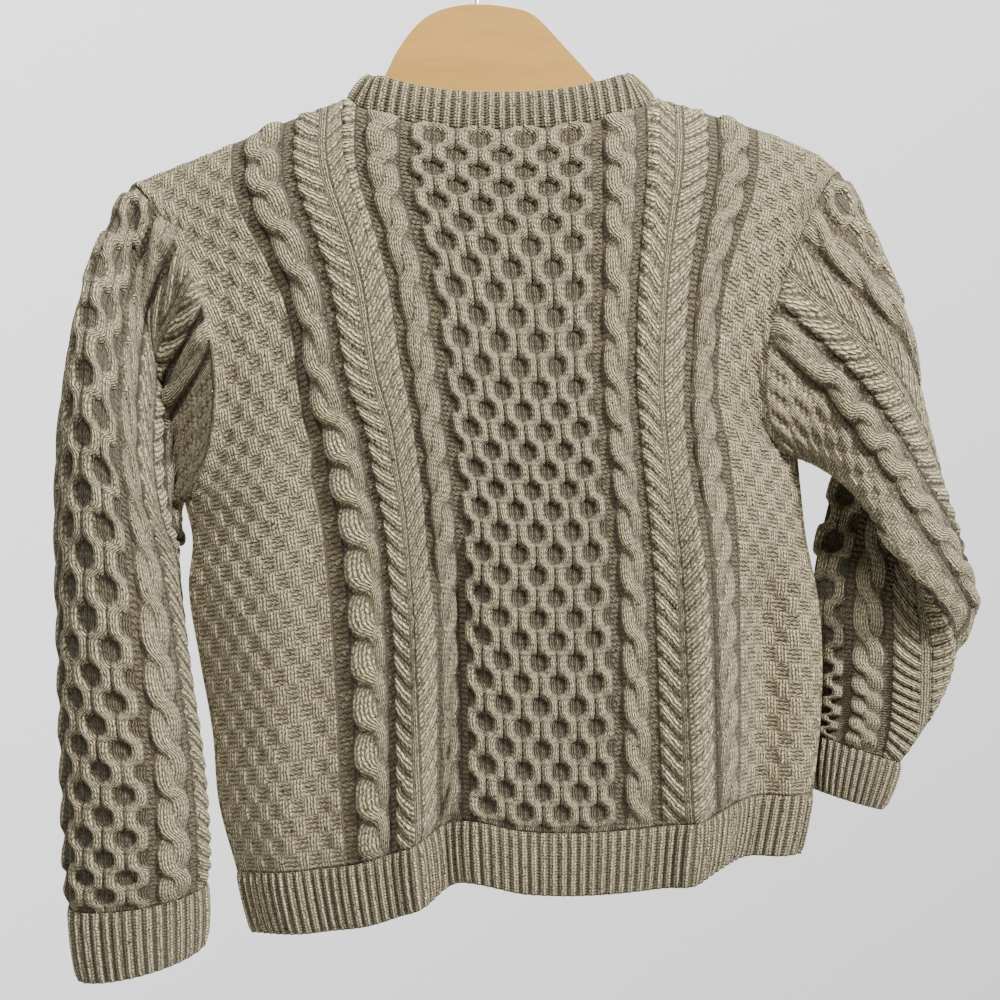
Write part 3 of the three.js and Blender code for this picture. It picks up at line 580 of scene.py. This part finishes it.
def count(fine):
    """A number of steps that the coarse grid divides."""
    return int(round(fine / STEP / COARSE)) * COARSE


def edge_fade(total, steps):
    """No relief right at a seam."""
    place = np.arange(total + 1)
    return soft(place / steps) * soft((total - place) / steps)


def rib_fade(at, x):
    """Ribs lower, but not gone, at their seam and edge."""
    fade = edge_fade(len(at) - 1, SEAM_STEPS)[:, None]
    return RIB_AT_EDGE + (1 - RIB_AT_EDGE) * fade * np.ones_like(x)


def bulged(base, out, at, most):
    """A grid moved out by a low arch between its two edges."""
    return base + out * np.sin(np.pi * at)[:, None, None] * most


def make_panel(name, is_back, steps=240, columns=396):
    at = np.linspace(0, 1, count(steps) + 1)
    stitches = np.linspace(-BODY_HALF, BODY_HALF, count(columns) + 1)
    base = panel_base(is_back, at, stitches)
    out = normals(base, False, not is_back)
    x, r = np.meshgrid(stitches, at * BODY_REPEATS)
    along = lengths_along(base)
    for sign, edge in ((-1, -BASKET_STITCH), (1, BASKET_STITCH)):
        start = np.array([np.interp(edge, stitches, row) for row in along])[:, None]
        outside = x * sign > BASKET_STITCH
        x = np.where(outside, edge + (along - start) / BASKET_WIDTH, x)
    fade = edge_fade(len(at) - 1, SEAM_STEPS)[:, None]
    fade = fade * edge_fade(len(stitches) - 1, SEAM_STEPS)[None, :]
    fade *= mix(0.3, 1, soft(at * BODY_REPEATS / 0.4))[:, None]
    inner = (base - out * WALL)[::COARSE, ::COARSE]
    return knitted(name, base, out, inner, bands(x, r, BODY_LAYOUT), fade, False, not is_back)


def lengths_from_top(rings):
    """Lengths round closed rings from their first point, less than nothing on the way back."""
    half = rings.shape[1] // 2
    near = lengths_along(rings[:, :half + 1])
    back = np.concatenate([rings[:, :1], rings[:, :half - 1:-1]], 1)
    far = -lengths_along(back)
    return np.concatenate([near, far[:, -2:0:-1]], 1)


def make_sleeve(name, rows, is_left, steps=252, columns=264):
    at = np.linspace(0, 1, count(steps) + 1)
    parts = sleeve_sections(rows, at)
    turns, stitches = ring_turns(parts, count(columns), at)
    base = section_points(parts, turns)
    out = normals(base, True, is_left)
    away = out.copy()
    away[0] = section_away(parts, turns)[0]
    inner = (base - away * WALL)[::COARSE // 2, ::COARSE]
    r = np.broadcast_to(at[:, None] * SLEEVE_REPEATS, stitches.shape)
    half = mix(SLEEVE_HALF_AT_TOP, SLEEVE_HALF_AT_CUFF, at)[:, None]
    under = soft((half - np.abs(stitches)) / UNDERARM_FADE)
    fade = edge_fade(len(at) - 1, SEAM_STEPS)[:, None] * (0.1 + 0.9 * under)
    fade *= mix(0.25, 1, soft((1 - at) * SLEEVE_REPEATS / 0.5))[:, None]
    found = bands(lengths_from_top(base) / SLEEVE_STITCH, -r, SLEEVE_LAYOUT)
    return knitted(name, base, out, inner, found, fade, True, is_left)


def make_cuff(name, rows, end, is_left, steps=24, columns=240):
    at = np.linspace(0, 1, count(steps) + 1)
    top = sleeve_sections(rows, np.ones(1))
    last = {key: np.repeat(value, 2) for key, value in end.items()}
    last["at"] = np.array([0.0, 1.0])
    bottom = sleeve_sections(last, np.zeros(1))
    turns_top, _ = ring_turns(top, count(columns), np.ones(1))
    turns_low, _ = ring_turns(bottom, count(columns), np.ones(1))
    a, b = section_points(top, turns_top)[0], section_points(bottom, turns_low)[0]
    base = mix(a[None], b[None], at[:, None, None])
    out = normals(base, True, is_left)
    base = bulged(base, out, at, RING_BULGE)
    inner = (base - out * WALL)[::COARSE, ::COARSE]
    x = np.broadcast_to(np.arange(len(a)) / len(a) * 2 * SLEEVE_HALF_AT_CUFF, base.shape[:2])
    rows_up = np.broadcast_to(at[:, None] * RIB_ROWS, x.shape)
    fade = rib_fade(at, x)
    return knitted(name, base, out, inner, ribs(x, -rows_up), fade, True, is_left)


def make_welt(name, is_back, steps=24, columns=528):
    at = np.linspace(0, 1, count(steps) + 1)
    stitches = np.linspace(-BODY_HALF, BODY_HALF, BODY_HALF * 12 + 1)
    edge = panel_base(is_back, np.array([0.0, 0.01]), stitches)[0]
    lengths = lengths_along(edge)
    share = np.linspace(0, 1, count(columns) + 1)
    top = np.stack([np.interp(share * lengths[-1], lengths, edge[:, axis]) for axis in range(3)], -1)
    skew = mix(WELT_SKEW_LEFT, WELT_SKEW_RIGHT, share)
    bottom = top + np.stack([skew, 0 * share, 0 * share - WELT_HEIGHT], -1)
    base = mix(bottom[None], top[None], at[:, None, None])
    out = normals(base, False, not is_back)
    base = bulged(base, out, at, WELT_BULGE)
    inner = (base - out * WALL)[::COARSE, ::COARSE]
    ribs_across = round(lengths[-1] / RIB_PITCH)
    x, rows_up = np.meshgrid(share * ribs_across * 2, at * RIB_ROWS)
    fade = rib_fade(at, x)
    return knitted(name, base, out, inner, ribs(x, rows_up), fade, False, not is_back)


def make_neckband(steps=20, columns=448):
    """Round the neck from the left corner, the back first."""
    half = count(columns) // 2
    stitches = np.linspace(-NECK_STITCH, NECK_STITCH, half + 1)
    neck = []
    for is_back in (True, False):
        whole = np.linspace(-BODY_HALF, BODY_HALF, BODY_HALF * 8 + 1)
        top = panel_base(is_back, np.array([0.99, 1.0]), whole)[1]
        line = np.stack([np.interp(stitches, whole, top[:, axis]) for axis in range(3)], -1)
        neck.append(line if is_back else line[::-1])
    edge = np.concatenate([neck[0][:-1], neck[1][:-1]])
    at = np.linspace(0, 1, count(steps) + 1)
    place = np.arange(len(edge)) % half
    stitches_off = np.minimum(place, half - place) * 2 * NECK_STITCH / half
    corner = soft(1 - stitches_off / NECKBAND_CORNER)
    corner_lean = np.where(edge[:, 0] < 0, NECKBAND_LEAN_LEFT, NECKBAND_LEAN_RIGHT)
    lean = mix(NECKBAND_LEAN, corner_lean, corner)
    height = edge[:, 2] + NECKBAND_HEIGHT - NECKBAND_DROP * corner
    end = np.stack([edge[:, 0] * lean, edge[:, 1] * NECKBAND_LEAN, height], -1)
    base = mix(edge[None], end[None], at[:, None, None])
    out = normals(base, True, False)
    base = bulged(base, out, at, RING_BULGE)
    inner = (base - out * WALL)[::COARSE, ::COARSE]
    x = np.broadcast_to(np.arange(len(edge)) / len(edge) * 4 * NECK_STITCH, base.shape[:2])
    rows_up = np.broadcast_to(at[:, None] * NECKBAND_ROWS, x.shape)
    fade = rib_fade(at, x)
    return knitted("neckband_knit", base, out, inner, ribs(x, rows_up), fade, True, False)


# Materials


class Nodes:
    """A small helper that wires a material's nodes."""

    def __init__(self, name):
        self.material = bpy.data.materials.new(name)
        self.material.use_nodes = True
        self.tree = self.material.node_tree
        self.shader = self.tree.nodes["Principled BSDF"]

    def add(self, kind, **values):
        node = self.tree.nodes.new(kind)
        for key, value in values.items():
            setattr(node, key, value)
        return node

    def link(self, source, target):
        if isinstance(source, (int, float, tuple)):
            target.default_value = source
        else:
            self.tree.links.new(source, target)

    def math(self, operation, *inputs, clamp=False):
        node = self.add("ShaderNodeMath", operation=operation, use_clamp=clamp)
        for source, socket in zip(inputs, node.inputs):
            self.link(source, socket)
        return node.outputs[0]

    def mark(self, name):
        return self.add("ShaderNodeAttribute", attribute_name=name).outputs["Fac"]

    def place(self):
        return self.add("ShaderNodeTexCoord").outputs["Object"]

    def noise(self, vector, scale, detail=2.0, roughness=0.5):
        node = self.add("ShaderNodeTexNoise")
        self.link(vector, node.inputs["Vector"])
        node.inputs["Scale"].default_value = scale
        node.inputs["Detail"].default_value = detail
        node.inputs["Roughness"].default_value = roughness
        return node.outputs["Fac"]

    def speck(self, vector, scale, size, share):
        """1 inside round specks, in a share of the cells."""
        cell = self.add("ShaderNodeTexVoronoi")
        self.link(vector, cell.inputs["Vector"])
        cell.inputs["Scale"].default_value = scale
        split = self.add("ShaderNodeSeparateColor")
        self.link(cell.outputs["Color"], split.inputs[0])
        near = self.math("LESS_THAN", cell.outputs["Distance"], size)
        chosen = self.math("LESS_THAN", split.outputs[0], share)
        return self.math("MULTIPLY", near, chosen)

    def blend(self, fac, a, b):
        node = self.add("ShaderNodeMix", data_type="RGBA")
        self.link(fac, node.inputs[0])
        self.link(a, node.inputs[6])
        self.link(b, node.inputs[7])
        return node.outputs[2]

    def combine(self, x, y, z):
        node = self.add("ShaderNodeCombineXYZ")
        for source, socket in zip((x, y, z), node.inputs):
            self.link(source, socket)
        return node.outputs[0]

    def bump(self, height, distance, strength=1.0, below=None):
        node = self.add("ShaderNodeBump")
        node.inputs["Distance"].default_value = distance
        node.inputs["Strength"].default_value = strength
        self.link(height, node.inputs["Height"])
        if below is not None:
            self.link(below, node.inputs["Normal"])
        return node.outputs[0]


CREAM = (0.78, 0.67, 0.41, 1)
OAT = (0.46, 0.38, 0.20, 1)
SHADE = (0.05, 0.035, 0.017, 1)
FLECK = (0.012, 0.010, 0.008, 1)
HUSK = (0.92, 0.84, 0.66, 1)
PLY_DARK = (0.26, 0.13, 0.016, 1)
PLY_LIGHT = (0.50, 0.275, 0.045, 1)
WIRE_DARK = (0.28, 0.28, 0.28, 1)
WIRE_LIGHT = (0.5, 0.5, 0.49, 1)

# Scales of the wool's noises, in waves a metre
WOBBLE_SCALE = 210
FIBRE_SCALE = 1100
HAIR_SCALE = 480
CLOUD_SCALE = 22
DRIFT_SCALE = 380

# How far the flecks' places wander, in metres, and each size of fleck
DRIFT = 0.004
FLECKS = table("scale size share strength", [
    [150, 0.17, 0.10, 0.90],
    [330, 0.28, 0.15, 0.75],
])

# Heights of the yarn and of its fibres in the bump, in metres
YARN_BUMP = 0.0018
FIBRE_BUMP = 0.0006
GRAIN_BUMP = 0.0002


def wool():
    """Oatmeal tweed yarn, knitted: legs of each stitch, purl bumps, flecks and fuzz, with painted shade
    between the strands and in the relief's hollows.
    """
    n = Nodes("tweed_wool")
    across, up, purl, lift = (n.mark(name) for name in ("across", "up", "purl", "lift"))
    place = n.place()
    wobble = n.noise(place, WOBBLE_SCALE)
    jitter = n.math("MULTIPLY", n.math("SUBTRACT", wobble, 0.5), 0.9)
    a = n.math("ADD", across, n.math("MULTIPLY", jitter, 0.5))
    b = n.math("ADD", up, jitter)

    side = n.math("MULTIPLY", n.math("ABSOLUTE", n.math("SUBTRACT", n.math("FRACT", a), 0.5)), 2.0)
    leg = n.math("POWER", n.math("SINE", n.math("MULTIPLY", side, math.pi)), 1.5)
    row = n.math("FRACT", n.math("SUBTRACT", b, n.math("MULTIPLY", side, 0.6)))
    loop = n.math("POWER", n.math("SINE", n.math("MULTIPLY", row, math.pi)), 0.55)
    knit = n.math("MULTIPLY", leg, loop)

    odd = n.math("MULTIPLY", n.math("MODULO", n.math("FLOOR", b), 2.0), 0.5)
    beads = n.math("SINE", n.math("MULTIPLY", n.math("FRACT", n.math("ADD", a, odd)), math.pi))
    arch = n.math("MULTIPLY", beads, 0.35)
    lines = n.math("SINE", n.math("MULTIPLY", n.math("FRACT", n.math("SUBTRACT", b, arch)), math.pi))
    crest = n.math("ADD", 0.55, n.math("MULTIPLY", beads, 0.45))
    bead = n.math("POWER", n.math("MULTIPLY", lines, crest), 1.5)
    knit_part = n.math("MULTIPLY", knit, n.math("SUBTRACT", 1.0, purl))
    yarn = n.math("ADD", knit_part, n.math("MULTIPLY", bead, purl), clamp=True)

    fibre = n.noise(place, FIBRE_SCALE, 3.0, 0.75)
    hair = n.noise(place, HAIR_SCALE, 2.0, 0.6)
    which_leg = n.math("FLOOR", n.math("MULTIPLY", side, 1.99))
    cell = n.combine(n.math("FLOOR", a), n.math("FLOOR", b), which_leg)
    tone = n.add("ShaderNodeTexWhiteNoise", noise_dimensions="3D")
    n.link(cell, tone.inputs["Vector"])
    cloud = n.math("MULTIPLY", n.noise(place, CLOUD_SCALE, 3.0), 0.5)
    warm = n.math("ADD", n.math("MULTIPLY", tone.outputs["Value"], 0.5), cloud)
    colour = n.blend(warm, OAT, CREAM)
    streak = n.math("MULTIPLY", n.math("SUBTRACT", fibre, 0.48, clamp=True), 3.4, clamp=True)
    colour = n.blend(streak, colour, HUSK)
    dull = n.math("MULTIPLY", n.math("SUBTRACT", 0.50, hair, clamp=True), 5.0, clamp=True)
    colour = n.blend(n.math("MULTIPLY", dull, 0.85), colour, SHADE)

    # Painted shade: the gaps between the yarn's legs and loops are darkened towards SHADE, where shade
    # would fall.
    gap_shade = n.math("SUBTRACT", 1.0, n.math("POWER", yarn, 0.7))
    colour = n.blend(n.math("MULTIPLY", gap_shade, 0.97), colour, SHADE)
    # Painted shade: the lower the relief (lift), the darker the colour, as shade falls in the pattern's
    # hollows and gutters; depth sets how strongly.
    low = n.math("POWER", n.math("SUBTRACT", 1.0, lift, clamp=True), 1.8)
    colour = n.blend(n.math("MULTIPLY", low, n.mark("depth")), colour, SHADE)

    drift = n.add("ShaderNodeVectorMath", operation="SCALE")
    wander = n.add("ShaderNodeTexNoise")
    n.link(place, wander.inputs["Vector"])
    wander.inputs["Scale"].default_value = DRIFT_SCALE
    n.link(wander.outputs["Color"], drift.inputs[0])
    drift.inputs["Scale"].default_value = DRIFT
    moved = n.add("ShaderNodeVectorMath", operation="ADD")
    n.link(place, moved.inputs[0])
    n.link(drift.outputs[0], moved.inputs[1])
    for scale, size, share, strength in zip(*FLECKS.values()):
        speck = n.speck(moved.outputs[0], scale, size, share)
        colour = n.blend(n.math("MULTIPLY", speck, strength), colour, FLECK)
    n.link(colour, n.shader.inputs["Base Color"])

    fine = n.bump(n.math("ADD", fibre, hair), FIBRE_BUMP, 0.7)
    n.link(n.bump(yarn, YARN_BUMP, below=fine), n.shader.inputs["Normal"])
    n.shader.inputs["Roughness"].default_value = 0.95
    n.shader.inputs["Specular IOR Level"].default_value = 0.1
    n.shader.inputs["Sheen Weight"].default_value = 0.12
    n.shader.inputs["Sheen Roughness"].default_value = 0.6
    return n.material


def plywood():
    """Pale plywood with long grain."""
    n = Nodes("pale_plywood")
    place = n.place()
    split = n.add("ShaderNodeSeparateXYZ")
    n.link(place, split.inputs[0])
    along = n.math("MULTIPLY", split.outputs[0], 0.12)
    stretched = n.combine(along, split.outputs[1], split.outputs[2])
    grain = n.noise(stretched, 240, 4.0, 0.6)
    broad = n.noise(stretched, 40)
    fac = n.math("ADD", n.math("MULTIPLY", grain, 0.5), n.math("MULTIPLY", broad, 0.5))
    n.link(n.blend(fac, PLY_DARK, PLY_LIGHT), n.shader.inputs["Base Color"])
    n.link(n.bump(grain, GRAIN_BUMP, 0.4), n.shader.inputs["Normal"])
    n.shader.inputs["Roughness"].default_value = 0.5
    return n.material


def steel():
    """Dull wire."""
    n = Nodes("dull_wire")
    streak = n.noise(n.place(), 300)
    n.link(n.blend(streak, WIRE_DARK, WIRE_LIGHT), n.shader.inputs["Base Color"])
    n.shader.inputs["Metallic"].default_value = 1.0
    n.shader.inputs["Roughness"].default_value = 0.35
    return n.material


def pale(name, colour):
    """One even, matt colour."""
    n = Nodes(name)
    n.link(colour, n.shader.inputs["Base Color"])
    n.shader.inputs["Roughness"].default_value = 0.9
    return n.material


def glow(name, colour, strength):
    """A glowing backdrop: painted light, a little brighter at its upper left."""
    n = Nodes(name)
    split = n.add("ShaderNodeSeparateXYZ")
    n.link(n.place(), split.inputs[0])
    fall_across = n.math("MULTIPLY", split.outputs[0], -0.04)
    fall_up = n.math("MULTIPLY", split.outputs[1], 0.06)
    fall = n.math("ADD", fall_across, fall_up)
    n.link(n.math("MULTIPLY", n.math("ADD", 1.0, fall), strength), n.shader.inputs["Emission Strength"])
    n.shader.inputs["Emission Color"].default_value = colour
    n.shader.inputs["Base Color"].default_value = (0.02, 0.02, 0.02, 1)
    n.shader.inputs["Roughness"].default_value = 1.0
    return n.material


# The garment


def garment():
    """The knitted pieces, each in place of its own solid."""
    cloth = wool()
    pieces = {
        "back_panel": make_panel("back_panel_knit", True),
        "front_panel": make_panel("front_panel_knit", False),
        "back_welt": make_welt("back_welt_knit", True),
        "front_welt": make_welt("front_welt_knit", False),
        "sleeve_left": make_sleeve("sleeve_left_knit", LEFT_SLEEVE, True),
        "sleeve_right": make_sleeve("sleeve_right_knit", RIGHT_SLEEVE, False),
        "cuff_left": make_cuff("cuff_left_knit", LEFT_SLEEVE, LEFT_CUFF_END, True),
        "cuff_right": make_cuff("cuff_right_knit", RIGHT_SLEEVE, RIGHT_CUFF_END, False),
        "neckband": make_neckband(),
    }
    for node, piece in pieces.items():
        piece.data.materials.append(cloth)
        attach(piece, "root")
        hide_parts(node)


def hanger():
    board = bpy.data.objects["hanger_board"]
    board.data.materials.clear()
    board.data.materials.append(plywood())
    hook = bpy.data.objects["hanger_hook"]
    hook.data.materials.clear()
    hook.data.materials.append(steel())


# Stage, light and camera

CAMERA_BACK = 1.111
CAMERA_HEIGHT = -0.4644
FLOOR = -1.45
FLOOR_SIZE = 2.2
BACKDROP_SIZE = 16
BACKDROP_AWAY = 7
BACKDROP_GLOW = 1.75
MIDDLE = -0.4
WORLD_COLOUR = (0.86, 0.88, 0.76, 1)
WORLD_STRENGTH = 0.25


def stage():
    bpy.ops.mesh.primitive_plane_add(size=FLOOR_SIZE, location=(0, 0.1, FLOOR))
    floor = bpy.context.object
    floor.name = "floor"
    floor.data.materials.append(pale("pale_floor", (0.8, 0.8, 0.8, 1)))
    upright = (math.pi / 2, 0, 0)
    behind = (0, BACKDROP_AWAY, MIDDLE)
    bpy.ops.mesh.primitive_plane_add(size=BACKDROP_SIZE, location=behind, rotation=upright)
    backdrop = bpy.context.object
    backdrop.name = "backdrop"
    # The backdrop's brightness is painted light from its own glow, brighter at the upper left
    backdrop.data.materials.append(glow("glowing_backdrop", (0.99, 1.0, 0.99, 1), BACKDROP_GLOW))
    world = bpy.context.scene.world or bpy.data.worlds.new("world")
    bpy.context.scene.world = world
    world.use_nodes = True
    background = world.node_tree.nodes["Background"]
    background.inputs[0].default_value = WORLD_COLOUR
    background.inputs[1].default_value = WORLD_STRENGTH


def area_light(name, place, size, power):
    """A square lamp that faces the middle of the garment."""
    light = bpy.data.lights.new(name, "AREA")
    light.size, light.energy = size, power
    lamp = bpy.data.objects.new(name, light)
    lamp.location = place
    way = Vector((0, 0, MIDDLE)) - Vector(place)
    lamp.rotation_euler = way.to_track_quat("-Z", "Y").to_euler()
    bpy.context.scene.collection.objects.link(lamp)


def lights():
    area_light("key", (1.9, -1.7, 1.3), 0.45, 260)
    area_light("top", (-0.4, -1.3, 1.7), 0.6, 75)


def camera():
    data = bpy.data.cameras.new("camera")
    data.lens, data.sensor_width = 50, 36
    eye = bpy.data.objects.new("camera", data)
    eye.location = (0, -CAMERA_BACK, CAMERA_HEIGHT)
    eye.rotation_euler = (math.pi / 2, 0, 0)
    bpy.context.scene.collection.objects.link(eye)
    bpy.context.scene.camera = eye


camera()
stage()
lights()
garment()
hanger()
